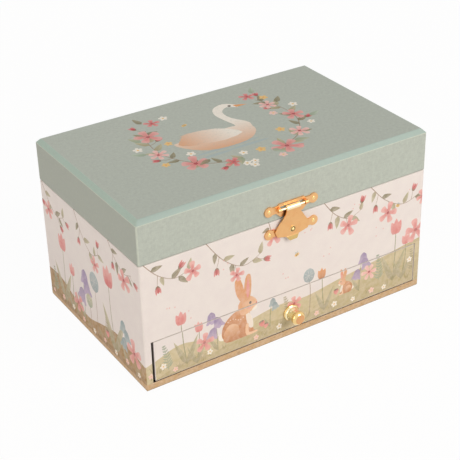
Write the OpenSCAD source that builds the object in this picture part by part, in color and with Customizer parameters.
// Ballerina jewellery box: a paper-wrapped case with a drawer and lined trays,
// a hinged lid with a mirror and a hasp, and a wind-up movement whose dancer turns.
// Millimetres. The origin is the middle of the resting face. The front is -Y, up is +Z.

/* [Case] */
// Overall width of the case
case_w = 180; // [165:1:220]
// Overall depth of the case
case_d = 113; // [106:1:140]
// Height of the case below the lid
case_h = 75; // [70:1:95]
// Thickness of the wall boards
board_t = 3.6; // [3:0.2:4.4]
// Thickness of the paper that wraps the boards
paper_t = 0.4; // [0.3:0.1:0.6]
// Thickness of the felt lining
felt_t = 0.5; // [0.4:0.1:0.8]
// Thickness of the base board
base_t = 4; // [3:0.5:6]
// Thickness of the deck board above the drawer
deck_t = 3; // [2:0.5:4]
// Height of the paper's lower edge above the resting face
hem = 0.3; // [0.2:0.1:1]

/* [Lid] */
// Height of the lid with its paper
lid_h = 24.7; // [22:0.1:32]
// Seam between the closed lid and the case
seam = 0.3; // [0.2:0.1:0.6]
// Width of the bevel around the lid's top
bevel = 2.4; // [1:0.2:3.2]
// How far the lid opens, in degrees
lid_open = 100; // [80:1:105]
// Half of the mirror's width
mirror_hx = 44; // [30:1:46]
// Half of the mirror's depth
mirror_hy = 32; // [20:1:36]
// Thickness of the mirror glass
mirror_t = 2; // [1.5:0.5:3]
// Width of the card frame around the mirror
frame_w = 4; // [3:0.5:6]
// Thickness of the frame's lip in front of the glass
frame_lip = 0.6; // [0.4:0.1:1]

/* [Drawer] */
// Height of the drawer's opening
opening_h = 25.2; // [22:0.2:32]
// Depth of the drawer with its front
drawer_d = 70; // [55:1:76]
// Mean gap beside the drawer
drawer_gap = 0.9; // [0.4:0.1:1.2]
// How far the drawer sits to the right of the middle
drawer_shift = 0.55; // [0:0.05:0.6]
// Gap over the drawer's front
drawer_top_gap = 0.3; // [0.3:0.1:0.8]
// Gap under the drawer's front
drawer_toe_gap = 0.5; // [0.4:0.1:1]
// Running gap under the drawer's box
drawer_run = 0.3; // [0.2:0.1:0.5]
// Thickness of the drawer's sides and back
drawer_side_t = 2.4; // [2:0.2:3.6]
// Thickness of the drawer's base
drawer_base_t = 2; // [1.5:0.5:3]
// How much lower the drawer's sides stand than its front
drawer_drop = 2.4; // [1:0.2:6]

/* [Knob] */
// Length of the knob
knob_len = 9; // [7:0.5:12]
// Radius of the knob's flange
knob_base_r = 4.8; // [3.5:0.1:6]
// Radius of the knob's waist
knob_waist_r = 3.5; // [2.4:0.1:4]
// Radius of the knob's head
knob_head_r = 4; // [3:0.1:6]
// Bevel around the knob's head
knob_bevel = 1.2; // [0.6:0.1:1.6]
// Height of the knob's axis above the resting face
knob_z = 15; // [14:0.2:20]

/* [Trays] */
// Thickness of the tray dividers
divider_t = 2; // [1.5:0.5:3]
// Height of the tray dividers
divider_h = 26; // [16:1:32]
// Distance of the long divider's left face from the middle of the box
divider_x = -10; // [-20:1:0]
// Radius of a ring roll
roll_r = 5.7; // [4:0.1:6]
// Number of ring rolls
roll_count = 4; // [3:1:5]

/* [Movement] */
// Distance of the dancer's axis from the right wall
dancer_in_x = 24; // [24:1:40]
// Distance of the dancer's axis from the back wall
dancer_in_y = 18.6; // [18.6:0.2:24]
// Radius of the mainspring barrel
barrel_r = 11.5; // [11.5:0.1:11.5]
// Length of the mainspring barrel
barrel_len = 11.8; // [8:0.2:11.8]
// Radius of the crown teeth's middle
crown_r = 9.6; // [9.6:0.1:9.6]
// Height of the crown teeth
crown_h = 1.4; // [1:0.1:1.6]
// Teeth of the crown
crown_teeth = 24; // [24:1:24]
// Teeth of the pinion that the crown drives
pinion_teeth = 8; // [8:1:8]
// Radius of the tune cylinder
tune_r = 5.5; // [4:0.1:5.6]
// Length of the tune cylinder
tune_len = 13; // [10:1:15]
// Module of the governor's gear pair
gov_module = 0.5; // [0.5:0.1:0.5]
// Teeth of the governor's wheel
wheel_teeth = 30; // [30:1:30]
// Teeth of the governor's pinion
gov_teeth = 10; // [10:1:10]
// Radius of the governor's fan
fan_r = 3.4; // [2.5:0.1:3.5]
// Thickness of the movement's plates
plate_t = 1.6; // [1.2:0.1:2]
// Radius of the winding arbor
arbor_r = 1.5; // [1.2:0.1:2]
// Radius of the dancer's spindle
spindle_r = 1; // [0.8:0.1:1.2]
// Span of the winding key
key_span = 22; // [16:1:26]

/* [Dancer] */
// Radius of the turning disc under the dancer
disc_r = 9; // [6:0.5:10]
// Radius of the tutu
tutu_r = 10.6; // [8:0.2:11]
// Height of the spring under the dancer
spring_h = 6; // [4:0.5:8]

/* [Fittings] */
// Thickness of the clasp plates
clasp_t = 0.8; // [0.6:0.1:1]
// Distance from a clasp plate's middle to its nails
ear_x = 13.9; // [12:0.1:16]
// Thickness of the hasp's sheet
hasp_t = 0.6; // [0.5:0.1:0.8]
// Distance of the hasp's pin from the front face
pin_out = 1.9; // [1.8:0.1:2.4]
// Radius of the hasp's pin
pin_r = 0.6; // [0.5:0.05:0.7]
// Distance of the lid hinges from the middle of the box
hinge_x = 55; // [40:1:70]
// Length of a hinge
hinge_len = 20; // [14:1:28]
// Radius of a hinge knuckle
knuckle_r = 1.2; // [1.1:0.1:1.4]
// Radius of a hinge pin
hinge_pin_r = 0.6; // [0.5:0.05:0.7]
// Thickness of a hinge leaf
leaf_t = 0.8; // [0.6:0.1:1]
// Radius of the lid stay's pivots about the hinge axis
stay_r = 24; // [18:1:28]
// Height of the stay's pivots above and below the hinge axis
stay_dz = 4.4; // [4:0.2:6]

/* [Fits] */
// Radial clearance of a running fit
run_gap = 0.05; // [0.03:0.01:0.08]
// Clearance between pieces of different moving bodies
move_gap = 0.3; // [0.25:0.05:0.5]
// Radial clearance of a screw or nail in its hole
screw_gap = 0.1; // [0.05:0.05:0.2]

/* [Hidden] */
$fn = 48;
eps = 0.01;

// Case planes
wall_t = board_t + paper_t;
out_x = case_w / 2;
out_y = case_d / 2;
board_x = out_x - paper_t;
board_y = out_y - paper_t;
in_x = out_x - wall_t;
in_y = out_y - wall_t;
rail_z = base_t + opening_h;
deck_z = rail_z + deck_t;
felt_x = in_x - felt_t;
felt_y = in_y - felt_t;
floor_z = deck_z + felt_t;

// Lid planes
lid_z = case_h + seam;
top_z = lid_z + lid_h;
lid_in_z = top_z - wall_t;
lid_felt_z = lid_in_z - felt_t;

// Drawer planes
draw_x0 = -in_x + drawer_gap + drawer_shift;
draw_x1 = in_x - drawer_gap + drawer_shift;
draw_z0 = base_t + drawer_toe_gap;
draw_z1 = rail_z - drawer_top_gap;
draw_box_z = base_t + drawer_run;
draw_side_z = draw_z1 - drawer_drop;
draw_back_y = -out_y + drawer_d;
bay_gap = 1.5;
bay_t = 3;

// Movement planes: the barrel lies under the deck and the spindle stands before it
dancer_x = in_x - dancer_in_x;
dancer_y = in_y - dancer_in_y;
plate_y = in_y - plate_t;
barrel_z = rail_z - 0.2 - barrel_r;
barrel_y = plate_y - 1.1;
barrel_face_y = barrel_y - barrel_len;
crown_pitch = 2 * PI * crown_r / crown_teeth;
pinion_pitch_r = crown_pitch * pinion_teeth / (2 * PI);
pinion_z = barrel_z + crown_r;
tooth_w = 0.75;
pinion_out_r = barrel_face_y - dancer_y - 0.3;
pinion_root_r = 2.1;
arm_low_z = pinion_z - 5;
arm_mid_z = pinion_z + 4.9;
tune_z = pinion_z + 2.9;
wheel_z = tune_z + tune_len + 1;
wheel_t = 1;
arm_top_z = wheel_z + 2;
arm_t = plate_t;
arm_y0 = dancer_y - 3.5;
arm_y1 = dancer_y + 2;
wheel_r = gov_module * wheel_teeth / 2;
gov_r = gov_module * gov_teeth / 2;
gov_x = dancer_x + wheel_r + gov_r;
post_x = dancer_x + 14;
flange_w = 4;
plate_x0 = dancer_x - 20;
plate_x1 = dancer_x + 20;
plate_z0 = base_t + 1;
plate_z1 = arm_top_z + 2;
comb_y = dancer_y + 0.5;
comb_t = 0.9;
comb_x0 = plate_x0;
comb_x1 = dancer_x - tune_r - 0.8;
comb_root_x = comb_x0 + 6;
comb_z0 = tune_z + 0.7;
comb_teeth = 18;
comb_pitch = (tune_len - 1.4) / comb_teeth;
bracket_t = 2;

// Stop plunger beside the fan
plunger_x = gov_x;
plunger_y = dancer_y + 10.1;
plunger_r = 0.8;
plunger_top = lid_felt_z - move_gap;
plunger_low = arm_mid_z - 6;
fan_z = arm_mid_z + 2;
fan_h = 4.5;
finger_z = fan_z + 2;
finger_h = 1.5;

// Cover over the movement
cover_t = 1.2;
cover_x0 = dancer_x - 24;
cover_y0 = dancer_y - 9.9;
cover_z = arm_top_z + 4;
cut_x0 = cover_x0 + 2;
cut_x1 = in_x - 2;
cut_y0 = cover_y0 + 2.5;

// Dancer heights
disc_z = cover_z + 0.8;
disc_t = 1.6;
spring_z = disc_z + disc_t;
toe_z = spring_z + spring_h;
figure_h = 35.2;
head_room = 1.8;
figure_k = (lid_felt_z - head_room - toe_z) / figure_h;

// Winding key
key_gap = 0.8;
key_stem_r = 2;
key_stem = 6;
key_bow_t = 1.8;
key_lobe_r = 5.6;

// Hinge axis
leaf_gap = 1.5;
axis_y = out_y + knuckle_r + move_gap;
axis_z = case_h + seam / 2;
leaf_h = 12;
knuckle_mid = 8;
knuckle_slack = 0.2;
leaf_screw_x = 6;
leaf_screw_dz = 7;
hinge_screw_r = 0.8;
hinge_screw_head_r = 1.5;
hinge_screw_head_t = 0.6;
hinge_screw_len = 3.2;

// Lid stay
stay_dy = sqrt(stay_r * stay_r - stay_dz * stay_dz);
stay_y = axis_y - stay_dy;
stay_a0 = atan(stay_dz / stay_dy);
stay_reach = 2 * stay_r * sin(lid_open / 2 + stay_a0);
stay_pin_r = 1.2;
stay_w = 6;
stay_t = 0.8;
stay_x = -felt_x + 0.2;
stay_head_t = 0.7;
stay_head_r = 2.2;

// Clasp heights, measured from the lid's lower edge
clasp_z = lid_z + 6.2;
catch_z = case_h - 6.9;
ear_r = 2.8;
neck_hz = 2;
slot_hx = 7.9;
slot_hz = 1.3;
nail_r = 0.5;
nail_head_r = 1.1;
nail_head_t = 0.4;
nail_len = 3;
loop_r = pin_r + run_gap + hasp_t;
lug_len = 1.8;
hasp_low_out = clasp_t + move_gap;
hasp_bottom_z = catch_z - 3.8;
rivet_r = 1.7;
tab_hx = 3;
tab_drop = 2.2;
tab_cut = 0.8;

// A box from its two opposite corners
module span(a, b) {
    translate(a) cube(b - a);
}

// A round bar along X, Y or Z from point p
module bar_x(p, r, l) {
    translate(p) rotate([0, 90, 0]) cylinder(r = r, h = l);
}
module bar_y(p, r, l) {
    translate(p) rotate([-90, 0, 0]) cylinder(r = r, h = l);
}
module bar_z(p, r, l) {
    translate(p) cylinder(r = r, h = l);
}

// An outline drawn in X and Z, given thickness from y towards the front
module front_sheet(y, t) {
    translate([0, y, 0]) rotate([90, 0, 0]) linear_extrude(height = t) children();
}

// An outline drawn in Y and Z, extruded along X
module side_sheet(x0, x1) {
    translate([x0, 0, 0]) rotate([90, 0, 90]) linear_extrude(height = x1 - x0) children();
}

// Two mirrored copies either side of the middle plane
module both_sides() {
    children();
    mirror([1, 0, 0]) children();
}

// ---- Case ----

module case_bottom() {
    color("tan") span([-board_x, -board_y, 0], [board_x, board_y, base_t]);
}

module side_board() {
    span([-board_x, -board_y, base_t], [-in_x, board_y, case_h - paper_t]);
}

module case_left() {
    color("tan") difference() {
        side_board();
        bar_x([-board_x + 1, stay_y, axis_z - stay_dz], stay_pin_r + screw_gap, board_t);
    }
}

module case_right() {
    color("tan") mirror([1, 0, 0]) side_board();
}

module case_back() {
    color("tan") difference() {
        span([-in_x, in_y, base_t], [in_x, board_y, case_h - paper_t]);
        key_hole();
        hinge_screw_holes(-1);
        for (p = plate_screws) bar_y([p[0], in_y - eps, p[1]], 1.2 + screw_gap, 3);
    }
}

module case_front() {
    color("tan") difference() {
        span([-in_x, -board_y, rail_z], [in_x, -in_y, case_h - paper_t]);
        clasp_nail_holes(catch_z);
    }
}

module deck() {
    color("tan") difference() {
        span([-in_x, -in_y, rail_z], [in_x, in_y, deck_z]);
        span([cut_x0, cut_y0, rail_z - 1], [cut_x1, in_y + 1, deck_z + 1]);
        stay_room();
    }
}

module bay_wall() {
    y = draw_back_y + bay_gap;
    color("tan") span([-in_x, y, base_t], [in_x, y + bay_t, rail_z]);
}

module case_wrap() {
    color("linen") difference() {
        span([-out_x, -out_y, hem], [out_x, out_y, case_h]);
        span([-board_x, -board_y, hem - 1], [board_x, board_y, case_h - paper_t]);
        span([-in_x, -in_y, base_t], [in_x, in_y, case_h + 1]);
        span([-in_x, -out_y - 1, base_t], [in_x, -in_y, rail_z]);
        key_hole();
        hinge_screw_holes(-1);
        clasp_nail_holes(catch_z);
    }
}

module case_lining() {
    color("mistyrose") difference() {
        span([-in_x, -in_y, deck_z], [in_x, in_y, case_h - paper_t]);
        span([-felt_x, -felt_y, floor_z], [felt_x, felt_y, case_h]);
        span([cover_x0, cover_y0, deck_z - 1], [in_x + 1, in_y + 1, cover_z]);
        bar_x([-in_x - 1, stay_y, axis_z - stay_dz], stay_pin_r + screw_gap, 2);
        stay_room();
    }
}

module key_hole() {
    bar_y([dancer_x, in_y - 1, barrel_z], arbor_r * 2, wall_t + 2);
}

// ---- Trays ----

module divider_long() {
    color("mistyrose")
        span([divider_x, -felt_y, floor_z], [divider_x + divider_t, felt_y, floor_z + divider_h]);
}

module divider_cross() {
    color("mistyrose")
        span([-felt_x, 0, floor_z], [divider_x, divider_t, floor_z + divider_h]);
}

// Foam rolls with round ends that hold rings between them
module ring_rolls() {
    y0 = divider_t;
    pitch = (felt_y - y0) / roll_count;
    x0 = stay_x + stay_t + stay_head_t + move_gap * 2;
    x1 = divider_x - move_gap;
    color("pink") for (i = [0 : roll_count - 1])
        bar_x([x0, y0 + pitch * (i + 0.5), floor_z + move_gap + roll_r], roll_r, x1 - x0);
}

// ---- Cover over the movement ----

module music_cover() {
    color("mistyrose") difference() {
        span([cover_x0, cover_y0, deck_z], [in_x, in_y, cover_z]);
        span([cover_x0 + cover_t, cover_y0 + cover_t, deck_z - 1],
            [in_x - cover_t, in_y + 1, cover_z - cover_t]);
        bar_z([dancer_x, dancer_y, cover_z - cover_t - 1], spindle_r + 0.6, cover_t + 2);
        bar_z([plunger_x, plunger_y, cover_z - cover_t - 1], plunger_r + 0.6, cover_t + 2);
    }
}

// ---- Movement ----

plate_screws = [[dancer_x - 17, barrel_z - 7.5], [dancer_x + 17, barrel_z - 7.5],
    [dancer_x - 4, arm_top_z - 3]];
flange_screws = [[post_x + 3.4, arm_low_z - 5], [post_x + 3.4, arm_top_z - 3]];
comb_screw_zs = [comb_z0 + 2.4, comb_z0 + comb_pitch * comb_teeth - 2.4];
comb_screw_x = comb_x0 + 2.8;

module guide_tab(z) {
    span([plunger_x - 2.5, plunger_y - 2.5, z], [plunger_x + 2.5, plate_y + eps, z + arm_t]);
}

// Upright plate on the case's back, with the arbor's bearing and the comb's bracket
module bedplate() {
    color("silver") difference() {
        union() {
            span([plate_x0, plate_y, plate_z0], [plate_x1, in_y, plate_z1]);
            guide_tab(arm_top_z);
            guide_tab(arm_mid_z - 3);
            span([comb_x0, comb_y, comb_z0 - 0.5],
                [comb_x0 + bracket_t, plate_y + eps, comb_z0 + comb_pitch * comb_teeth]);
            span([comb_x0, comb_y, comb_z0 - 0.5],
                [comb_root_x, comb_y + bracket_t, comb_z0 + comb_pitch * comb_teeth]);
        }
        bar_y([dancer_x, plate_y - 1, barrel_z], arbor_r + run_gap, plate_t + 2);
        for (p = plate_screws) bar_y([p[0], plate_y - 1, p[1]], 1.2 + screw_gap, plate_t + 2);
        for (p = flange_screws) bar_y([p[0], plate_y - 1, p[1]], 0.8 + screw_gap, plate_t + 2);
        for (z = comb_screw_zs)
            bar_y([comb_screw_x, comb_y - 1, z], 0.8 + screw_gap, bracket_t + 2);
        bar_z([plunger_x, plunger_y, arm_mid_z - 4], plunger_r + run_gap, 30);
    }
}

// Bridge with the bearings of the arbor, the spindle and the governor
module bridge() {
    color("gold") difference() {
        union() {
            span([post_x, arm_y0, arm_low_z - 9], [post_x + plate_t, plate_y, arm_top_z + arm_t]);
            span([post_x, plate_y - 1.2, arm_low_z - 9],
                [post_x + plate_t + flange_w, plate_y, arm_top_z + arm_t]);
            span([dancer_x - 3, arm_y0, arm_low_z], [post_x + eps, arm_y1, arm_low_z + arm_t]);
            span([dancer_x - 3, arm_y0, arm_top_z], [post_x + eps, arm_y1, arm_top_z + arm_t]);
            span([gov_x - 2, arm_y0, arm_mid_z], [post_x + eps, arm_y1, arm_mid_z + 1.2]);
            span([dancer_x - 5, arm_y0, barrel_z - 4],
                [dancer_x + 5, arm_y0 + plate_t, arm_low_z + arm_t]);
        }
        bar_z([dancer_x, dancer_y, arm_low_z - 1], spindle_r + run_gap, arm_t + 2);
        bar_z([dancer_x, dancer_y, arm_top_z - 1], spindle_r + run_gap, arm_t + 2);
        bar_z([gov_x, dancer_y, arm_mid_z - 1], 0.6 + run_gap, 4);
        bar_z([gov_x, dancer_y, arm_top_z - 1], 0.6 + run_gap, arm_t + 2);
        bar_y([dancer_x, arm_y0 - 1, barrel_z], arbor_r + run_gap, plate_t + 2);
        for (p = flange_screws) bar_y([p[0], plate_y - 3, p[1]], 0.8 + screw_gap, 4);
    }
}

// Steel comb whose teeth point at the tune cylinder
module comb() {
    color("lightgray") difference() {
        union() {
            span([comb_x0, comb_y - comb_t, comb_z0 - 0.5],
                [comb_root_x, comb_y, comb_z0 + comb_pitch * comb_teeth]);
            for (i = [0 : comb_teeth - 1])
                span([comb_root_x - eps, comb_y - comb_t * 0.7, comb_z0 + comb_pitch * i],
                    [comb_x1, comb_y - comb_t * 0.2, comb_z0 + comb_pitch * i + comb_pitch * 0.66]);
        }
        for (z = comb_screw_zs) bar_y([comb_screw_x, comb_y - 3, z], 0.8 + screw_gap, 4);
    }
}

module screw_y(p, r, l, head_r, head_t) {
    bar_y(p, r, l);
    bar_y([p[0], p[1] - head_t, p[2]], head_r, head_t);
}

module movement_screws() {
    color("silver") {
        for (p = plate_screws) screw_y([p[0], plate_y, p[1]], 1.2, plate_t + 2.8, 2.2, 1);
        for (p = flange_screws) screw_y([p[0], plate_y - 1.2, p[1]], 0.8, 2.6, 1.5, 0.7);
        for (z = comb_screw_zs)
            screw_y([comb_screw_x, comb_y - comb_t, z], 0.8, comb_t + 1.6, 1.4, 0.7);
    }
}

// Mainspring barrel with crown teeth on its front face and the winding arbor
module spring_barrel() {
    half_step = 180 / crown_teeth;
    color("goldenrod") union() {
        bar_y([dancer_x, barrel_face_y, barrel_z], barrel_r, barrel_len);
        bar_y([dancer_x, arm_y0 - 0.5, barrel_z], arbor_r,
            out_y + key_gap + 1 - arm_y0 + 0.5);
        for (i = [0 : crown_teeth - 1])
            translate([dancer_x, barrel_face_y, barrel_z])
                rotate([0, half_step + i * 2 * half_step, 0])
                    span([-tooth_w / 2, -crown_h, crown_r - 1.3],
                        [tooth_w / 2, eps, crown_r + 1.3]);
    }
}

module key_outline() {
    union() {
        both_sides() translate([key_span / 2 - key_lobe_r, 0]) circle(r = key_lobe_r);
        square([key_span - 2 * key_lobe_r, 5], center = true);
    }
}

// Winding key with two drilled wings
module winding_key() {
    y0 = out_y + key_gap;
    color("goldenrod") translate([dancer_x, y0, barrel_z]) difference() {
        union() {
            bar_y([0, 0, 0], key_stem_r * 1.4, 1.2);
            bar_y([0, 0, 0], key_stem_r, key_stem + 2.4);
            translate([0, key_stem + 4.4, 0])
                translate([0, 0, -key_bow_t / 2]) linear_extrude(height = key_bow_t) key_outline();
        }
        bar_y([0, -1, 0], arbor_r + screw_gap, 2 + screw_gap);
        both_sides() bar_z([key_span / 2 - key_lobe_r, key_stem + 4.4, -key_bow_t], 2.2,
            key_bow_t * 2);
    }
}

// A toothed wheel about Z with plain radial teeth
module toothed(root_r, tip_r, teeth, w, h, phase) {
    cylinder(r = root_r, h = h);
    for (i = [0 : teeth - 1])
        rotate([0, 0, phase + i * 360 / teeth])
            span([root_r - 0.4, -w / 2, 0], [tip_r, w / 2, h]);
}

// Spindle with the crown's pinion, the tune cylinder and the governor's wheel
module music_cylinder() {
    pins = 30;
    color("khaki") translate([dancer_x, dancer_y, 0]) union() {
        bar_z([0, 0, arm_low_z - 0.8], spindle_r, disc_z - arm_low_z + 0.8);
        translate([0, 0, pinion_z - 1.4])
            toothed(pinion_root_r, pinion_out_r, pinion_teeth, tooth_w, 2.8, 90);
        bar_z([0, 0, tune_z], tune_r, tune_len);
        for (i = [0 : pins - 1])
            rotate([0, 0, i * 137.5])
                bar_x([tune_r - 0.3, 0, comb_z0 + comb_pitch * (i % comb_teeth) + 0.2], 0.18, 0.7);
        translate([0, 0, wheel_z])
            toothed(wheel_r - 0.7, wheel_r + 0.35, wheel_teeth, 0.55, wheel_t, 0);
    }
}

// Governor with its pinion and two-winged fan
module governor() {
    color("silver") translate([gov_x, dancer_y, 0]) union() {
        bar_z([0, 0, arm_mid_z - 0.3], 0.6, arm_top_z + arm_t - arm_mid_z);
        translate([0, 0, wheel_z - 0.2])
            toothed(gov_r - 0.7, gov_r + 0.35, gov_teeth, 0.55, wheel_t + 0.4, 180 / gov_teeth);
        span([-fan_r, -0.25, fan_z], [fan_r, 0.25, fan_z + fan_h]);
        bar_z([0, 0, fan_z], 1, fan_h);
    }
}

// Wire plunger that the closed lid holds down, with a finger beside the fan
module stop_plunger() {
    color("silver") union() {
        bar_z([plunger_x, plunger_y, plunger_low], plunger_r, plunger_top - plunger_low - 1);
        bar_z([plunger_x, plunger_y, plunger_top - 2.4], 1.4, 2.4);
        span([plunger_x - 0.5, dancer_y + fan_r + move_gap, finger_z],
            [plunger_x + 0.5, plunger_y, finger_z + finger_h]);
    }
}

// ---- Dancer ----

module spindle_cap() {
    color("white") translate([dancer_x, dancer_y, disc_z]) rotate_extrude()
        polygon([[0, 0], [disc_r, 0], [disc_r, disc_t - 0.4], [disc_r - 0.6, disc_t], [0, disc_t]]);
}

// Coil spring that lets the dancer lean when it is pressed
module dancer_spring() {
    turns = 7;
    wire_r = 0.5;
    step = (spring_h - 2 * wire_r) / (turns - 1);
    color("silver") translate([dancer_x, dancer_y, spring_z]) rotate_extrude() union() {
        for (i = [0 : turns - 1])
            translate([2, wire_r + i * step]) circle(r = wire_r, $fn = 24);
        translate([1.5, 0.5]) square([0.5, spring_h - 1]);
    }
}

// Figure on one pointed toe with its arms in a ring overhead
module dancer() {
    color("mistyrose") translate([dancer_x, dancer_y, toe_z]) scale(figure_k) union() {
        cylinder(r = 1.9, h = 1);
        translate([0, 0, 0.8]) cylinder(r1 = 0.7, r2 = 1.5, h = 15.7);
        translate([0, 0, 16]) cylinder(r1 = 2.1, r2 = 1.6, h = 4);
        translate([0, 0, 20]) cylinder(r1 = 1.6, r2 = 2.3, h = 4.2);
        translate([0, 0, 24]) cylinder(r = 0.8, h = 2.4);
        translate([0, 0, 28]) sphere(r = 2.3);
        translate([0, 1.2, 30.4]) sphere(r = 1.1);
        translate([0, 0, 30]) rotate([90, 0, 0]) rotate_extrude()
            translate([4.6, 0]) circle(r = 0.6, $fn = 24);
    }
}

// Stiff net skirt around the hips
module tutu() {
    color("pink") translate([dancer_x, dancer_y, toe_z]) scale(figure_k) rotate_extrude()
        polygon([[2.4, 16.4], [tutu_r / figure_k, 15.6], [tutu_r / figure_k, 16.6], [2.4, 18.8]]);
}

// ---- Lid ----

// A block whose top edges are bevelled at 45 degrees on all four sides
module bevelled_block(hx, hy, z0, z1, b) {
    intersection() {
        side_sheet(-hx, hx)
            polygon([[-hy, z0], [hy, z0], [hy, z1 - b], [hy - b, z1], [-hy + b, z1], [-hy, z1 - b]]);
        front_sheet(hy, 2 * hy)
            polygon([[-hx, z0], [hx, z0], [hx, z1 - b], [hx - b, z1], [-hx + b, z1], [-hx, z1 - b]]);
    }
}

module lid_top() {
    color("darkseagreen")
        bevelled_block(board_x, board_y, lid_in_z, top_z - paper_t, bevel);
}

module lid_side_board() {
    span([-board_x, -board_y, lid_z + paper_t], [-in_x, board_y, lid_in_z]);
}

module lid_left() {
    color("tan") difference() {
        lid_side_board();
        bar_x([-board_x + 1, stay_y, axis_z + stay_dz], stay_pin_r + screw_gap, board_t);
    }
}

module lid_right() {
    color("tan") mirror([1, 0, 0]) lid_side_board();
}

module lid_back() {
    color("tan") difference() {
        span([-in_x, in_y, lid_z + paper_t], [in_x, board_y, lid_in_z]);
        hinge_screw_holes(1);
    }
}

module lid_front() {
    color("tan") difference() {
        span([-in_x, -board_y, lid_z + paper_t], [in_x, -in_y, lid_in_z]);
        clasp_nail_holes(clasp_z);
    }
}

module lid_wrap() {
    color("darkseagreen") difference() {
        bevelled_block(out_x, out_y, lid_z, top_z, bevel);
        bevelled_block(board_x, board_y, lid_z + paper_t, top_z - paper_t, bevel);
        span([-in_x, -in_y, lid_z - 1], [in_x, in_y, lid_z + 2 * paper_t]);
        hinge_screw_holes(1);
        clasp_nail_holes(clasp_z);
    }
}

module lid_lining() {
    color("mistyrose") difference() {
        span([-in_x, -in_y, lid_z + paper_t], [in_x, in_y, lid_in_z]);
        span([-felt_x, -felt_y, lid_z - 1], [felt_x, felt_y, lid_felt_z]);
        bar_x([-in_x - 1, stay_y, axis_z + stay_dz], stay_pin_r + screw_gap, 2);
    }
}

module mirror_glass() {
    span([-mirror_hx, -mirror_hy, lid_felt_z - mirror_t], [mirror_hx, mirror_hy, lid_felt_z]);
}

// Card frame with a lip over the edge of the glass
module mirror_frame() {
    hx = mirror_hx + frame_w / 2;
    hy = mirror_hy + frame_w / 2;
    z0 = lid_felt_z - mirror_t - frame_lip;
    color("antiquewhite") difference() {
        span([-hx, -hy, z0], [hx, hy, lid_felt_z]);
        span([-mirror_hx - 0.1, -mirror_hy - 0.1, z0 + frame_lip],
            [mirror_hx + 0.1, mirror_hy + 0.1, lid_felt_z + 1]);
        span([-hx + frame_w, -hy + frame_w, z0 - 1], [hx - frame_w, hy - frame_w, lid_felt_z]);
    }
}

// ---- Hinges ----

module hinge_screw_holes(side) {
    z = axis_z + side * leaf_screw_dz;
    both_sides() for (dx = [-leaf_screw_x, leaf_screw_x])
        bar_y([hinge_x + dx, out_y - hinge_screw_len - eps, z], hinge_screw_r + screw_gap,
            hinge_screw_len + leaf_t + 1);
}

module hinge_screws(side) {
    z = axis_z + side * leaf_screw_dz;
    y0 = out_y + leaf_t;
    both_sides() for (dx = [-leaf_screw_x, leaf_screw_x]) {
        bar_y([hinge_x + dx, out_y - hinge_screw_len + 0.4, z], hinge_screw_r,
            hinge_screw_len + leaf_t);
        bar_y([hinge_x + dx, y0, z], hinge_screw_head_r, hinge_screw_head_t);
    }
}

// One leaf below (side -1) or above (side 1) the axis, with its knuckles
module hinge_leaf(side, knuckles) {
    z_far = axis_z + side * leaf_h;
    z_near = axis_z + side * leaf_gap;
    difference() {
        union() {
            span([hinge_x - hinge_len / 2, out_y, min(z_far, z_near)],
                [hinge_x + hinge_len / 2, out_y + leaf_t, max(z_far, z_near)]);
            for (k = knuckles) {
                bar_x([hinge_x + k[0], axis_y, axis_z], knuckle_r, k[1] - k[0]);
                span([hinge_x + k[0], out_y + move_gap, min(axis_z, z_near + side * 0.6)],
                    [hinge_x + k[1], out_y + leaf_t, max(axis_z, z_near + side * 0.6)]);
            }
        }
        bar_x([hinge_x - hinge_len, axis_y, axis_z], hinge_pin_r + run_gap, 2 * hinge_len);
    }
}

module hinge_leaves_lower() {
    color("goldenrod") difference() {
        both_sides() hinge_leaf(-1, [[-knuckle_mid / 2, knuckle_mid / 2]]);
        hinge_screw_holes(-1);
    }
}

module hinge_leaves_upper() {
    inner = knuckle_mid / 2 + knuckle_slack;
    color("goldenrod") difference() {
        both_sides() hinge_leaf(1, [[-hinge_len / 2, -inner], [inner, hinge_len / 2]]);
        hinge_screw_holes(1);
    }
}

module hinge_pins() {
    color("goldenrod") both_sides()
        bar_x([hinge_x - hinge_len / 2, axis_y, axis_z], hinge_pin_r, hinge_len);
}

module hinge_screws_lower() {
    color("gold") hinge_screws(-1);
}

module hinge_screws_upper() {
    color("gold") hinge_screws(1);
}

// ---- Lid stay ----

// Screw with a bare stretch on which the stay's slot or eye runs
module stay_screw(z) {
    x_tip = -in_x - 2.4;
    x_head = stay_x + stay_t + 0.1;
    bar_x([x_tip, stay_y, z], stay_pin_r, x_head - x_tip + eps);
    bar_x([x_head, stay_y, z], stay_head_r, stay_head_t);
}

module stay_case_screw() {
    color("gold") stay_screw(axis_z - stay_dz);
}

module stay_lid_screw() {
    color("gold") stay_screw(axis_z + stay_dz);
}

// Space under and around the stay's arm when the lid is closed
module stay_room() {
    tip_z = axis_z + stay_dz - stay_reach - stay_w / 2;
    span([-felt_x, stay_y - stay_w / 2 - move_gap, tip_z - move_gap],
        [stay_x + stay_t + move_gap, stay_y + stay_w / 2 + move_gap, case_h]);
}

// Slotted arm that hangs from the lid and slides on the case's screw
module stay_arm() {
    pz = axis_z + stay_dz;
    r = stay_pin_r + run_gap;
    slot_top = 2 * stay_dz;
    color("goldenrod") difference() {
        union() {
            bar_x([stay_x, stay_y, pz], stay_w / 2, stay_t);
            bar_x([stay_x, stay_y, pz - stay_reach], stay_w / 2, stay_t);
            span([stay_x, stay_y - stay_w / 2, pz - stay_reach],
                [stay_x + stay_t, stay_y + stay_w / 2, pz]);
        }
        bar_x([stay_x - 1, stay_y, pz], r, stay_t + 2);
        bar_x([stay_x - 1, stay_y, pz - slot_top], r, stay_t + 2);
        bar_x([stay_x - 1, stay_y, pz - stay_reach], r, stay_t + 2);
        span([stay_x - 1, stay_y - r, pz - stay_reach],
            [stay_x + stay_t + 1, stay_y + r, pz - slot_top]);
    }
}

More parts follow.
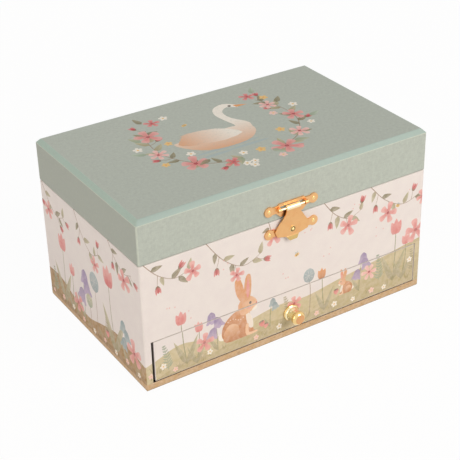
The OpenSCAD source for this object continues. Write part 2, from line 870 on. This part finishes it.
// ---- Clasp ----

module clasp_nail_holes(z) {
    both_sides() bar_y([ear_x, -out_y - 2, z], nail_r + screw_gap, nail_len + 2.2);
}

module clasp_nail_pair(z) {
    both_sides() {
        bar_y([ear_x, -out_y - clasp_t - eps, z], nail_r, nail_len + clasp_t);
        bar_y([ear_x, -out_y - clasp_t - nail_head_t, z], nail_head_r, nail_head_t);
    }
}

// A flat strip that ends in two round ears, at height z on the front face
module ear_strip(z) {
    both_sides() bar_y([ear_x, -out_y - clasp_t, z], ear_r, clasp_t);
    span([-ear_x, -out_y - clasp_t, z - neck_hz], [ear_x, -out_y, z + neck_hz]);
}

module clasp_plate() {
    y0 = -out_y - clasp_t;
    color("goldenrod") difference() {
        union() {
            ear_strip(clasp_z);
            front_sheet(-out_y, clasp_t) translate([0, clasp_z])
                polygon([[-7, -4.6], [7, -4.6], [9.8, -2], [8, 3], [-8, 3], [-9.8, -2]]);
            both_sides() bar_x([slot_hx - 0.4, -out_y - pin_out, clasp_z], pin_r + 0.6, lug_len);
        }
        span([-slot_hx + 0.4, y0 - 3, clasp_z - slot_hz], [slot_hx - 0.4, 1 - out_y, clasp_z + slot_hz]);
        bar_x([-ear_x, -out_y - pin_out, clasp_z], pin_r + run_gap, 2 * ear_x);
        clasp_nail_holes(clasp_z);
    }
}

module catch_plate() {
    color("goldenrod") difference() {
        union() {
            ear_strip(catch_z);
            span([-9, -out_y - clasp_t, catch_z - 2.9], [9, -out_y, catch_z + 2.8]);
        }
        clasp_nail_holes(catch_z);
    }
}

module clasp_nails() {
    color("goldenrod") clasp_nail_pair(clasp_z);
}

module catch_nails() {
    color("goldenrod") clasp_nail_pair(catch_z);
}

module hasp_pin() {
    l = slot_hx - 0.4 + lug_len;
    color("gold") bar_x([-l, -out_y - pin_out, clasp_z], pin_r, 2 * l);
}

// Bell-shaped sheet: a loop on the pin, a neck, and a wide end in front of the catch
module hasp() {
    y_pin = -out_y - pin_out;
    top_out = pin_out + loop_r;
    neck_hx = 4.1;
    bend_z = catch_z + 4.6;
    color("goldenrod") difference() {
        union() {
            bar_x([-neck_hx, y_pin, clasp_z], loop_r, 2 * neck_hx);
            intersection() {
                side_sheet(-ear_x, ear_x) polygon([
                    [-out_y - top_out, clasp_z],
                    [-out_y - top_out + hasp_t, clasp_z],
                    [-out_y - hasp_low_out, bend_z],
                    [-out_y - hasp_low_out, hasp_bottom_z],
                    [-out_y - hasp_low_out - 0.9, hasp_bottom_z - tab_drop],
                    [-out_y - hasp_low_out - 0.9 - hasp_t, hasp_bottom_z - tab_drop],
                    [-out_y - hasp_low_out - hasp_t, hasp_bottom_z],
                    [-out_y - hasp_low_out - hasp_t, bend_z]]);
                front_sheet(0, case_d) hasp_outline(neck_hx);
            }
        }
        bar_x([-ear_x, y_pin, clasp_z], pin_r + run_gap, 2 * ear_x);
        bar_y([0, -out_y - 4, catch_z], 0.8 + screw_gap, 4);
    }
}

module hasp_outline(neck_hx) {
    z0 = hasp_bottom_z;
    polygon([[-neck_hx, clasp_z + 2], [neck_hx, clasp_z + 2], [neck_hx + 0.6, clasp_z - 3.6],
        [7.8, catch_z + 5.2], [10.9, catch_z + 0.8], [9.6, z0 + 1.4], [tab_hx + 1, z0],
        [tab_hx, z0 - tab_drop + tab_cut], [tab_hx - tab_cut, z0 - tab_drop],
        [tab_cut - tab_hx, z0 - tab_drop], [-tab_hx, z0 - tab_drop + tab_cut], [-tab_hx - 1, z0],
        [-9.6, z0 + 1.4], [-10.9, catch_z + 0.8], [-7.8, catch_z + 5.2],
        [-neck_hx - 0.6, clasp_z - 3.6]]);
}

module hasp_rivet() {
    y0 = -out_y - hasp_low_out - hasp_t;
    color("gold") union() {
        bar_y([0, y0 - eps, catch_z], 0.8, hasp_t + eps);
        translate([0, y0, catch_z]) rotate([90, 0, 0]) rotate_extrude()
            polygon([[0, 0], [rivet_r, 0], [rivet_r, 0.3], [rivet_r - 0.6, 0.8], [0, 0.9]]);
    }
}

// ---- Drawer ----

module drawer_front() {
    color("tan") difference() {
        span([draw_x0 + paper_t, -board_y, draw_z0 + paper_t],
            [draw_x1 - paper_t, -in_y, draw_z1 - paper_t]);
        bar_y([0, -out_y - 1, knob_z], 1.2 + screw_gap, wall_t + 2);
    }
}

module drawer_wrap() {
    color("linen") difference() {
        span([draw_x0, -out_y, draw_z0], [draw_x1, -in_y, draw_z1]);
        span([draw_x0 + paper_t, -board_y, draw_z0 + paper_t],
            [draw_x1 - paper_t, -in_y + 1, draw_z1 - paper_t]);
        bar_y([0, -out_y - 1, knob_z], 1.2 + screw_gap, wall_t + 2);
    }
}

module drawer_left() {
    color("tan") span([draw_x0 + paper_t, -in_y, draw_box_z],
        [draw_x0 + paper_t + drawer_side_t, draw_back_y, draw_side_z]);
}

module drawer_right() {
    color("tan") span([draw_x1 - paper_t - drawer_side_t, -in_y, draw_box_z],
        [draw_x1 - paper_t, draw_back_y, draw_side_z]);
}

module drawer_back() {
    color("tan") span([draw_x0 + paper_t + drawer_side_t, draw_back_y - drawer_side_t, draw_box_z],
        [draw_x1 - paper_t - drawer_side_t, draw_back_y, draw_side_z]);
}

module drawer_base() {
    color("tan") span([draw_x0 + paper_t + drawer_side_t, -in_y, draw_box_z],
        [draw_x1 - paper_t - drawer_side_t, draw_back_y - drawer_side_t,
            draw_box_z + drawer_base_t]);
}

module drawer_lining() {
    x0 = draw_x0 + paper_t + drawer_side_t;
    x1 = draw_x1 - paper_t - drawer_side_t;
    y1 = draw_back_y - drawer_side_t;
    z0 = draw_box_z + drawer_base_t;
    color("mistyrose") difference() {
        span([x0, -in_y, z0], [x1, y1, draw_side_z]);
        span([x0 + felt_t, -in_y + felt_t, z0 + felt_t], [x1 - felt_t, y1 - felt_t, draw_z1]);
        bar_y([0, -in_y - 1, knob_z], 3, 3);
    }
}

// Turned spool: a flange, a waist and a bevelled head
module knob() {
    l = knob_len;
    color("gold") difference() {
        translate([0, -out_y, knob_z]) rotate([90, 0, 0]) rotate_extrude() polygon([
            [0, 0], [knob_base_r, 0], [knob_base_r, 0.9], [knob_base_r - 0.9, 1.8],
            [knob_waist_r + 0.3, 2.4], [knob_waist_r, 3.6], [knob_waist_r + 0.2, 5.2],
            [knob_head_r - 0.3, 6], [knob_head_r, 6.5], [knob_head_r, l - knob_bevel],
            [knob_head_r - knob_bevel, l], [0, l]]);
        bar_y([0, -out_y - 5, knob_z], 1.2 + screw_gap, 6);
    }
}

module knob_screw() {
    color("silver") union() {
        bar_y([0, -out_y - 4.6, knob_z], 1.2, wall_t + 4.6 + eps);
        bar_y([0, -in_y, knob_z], 2.4, 1);
    }
}

case_bottom();
case_left();
case_right();
case_back();
case_front();
deck();
bay_wall();
case_wrap();
case_lining();
divider_long();
divider_cross();
ring_rolls();
music_cover();
catch_plate();
catch_nails();
hinge_leaves_lower();
hinge_pins();
hinge_screws_lower();
stay_case_screw();
bedplate();
bridge();
comb();
movement_screws();
lid_top();
lid_front();
lid_back();
lid_left();
lid_right();
lid_wrap();
lid_lining();
color("lightblue") mirror_glass();  // mirror
mirror_frame();
clasp_plate();
clasp_nails();
hasp_pin();
hinge_leaves_upper();
hinge_screws_upper();
stay_lid_screw();
hasp();
hasp_rivet();
drawer_front();
drawer_left();
drawer_right();
drawer_back();
drawer_base();
drawer_wrap();
drawer_lining();
knob();
knob_screw();
spring_barrel();
winding_key();
music_cylinder();
governor();
spindle_cap();
dancer_spring();
dancer();
tutu();
stop_plunger();
stay_arm();
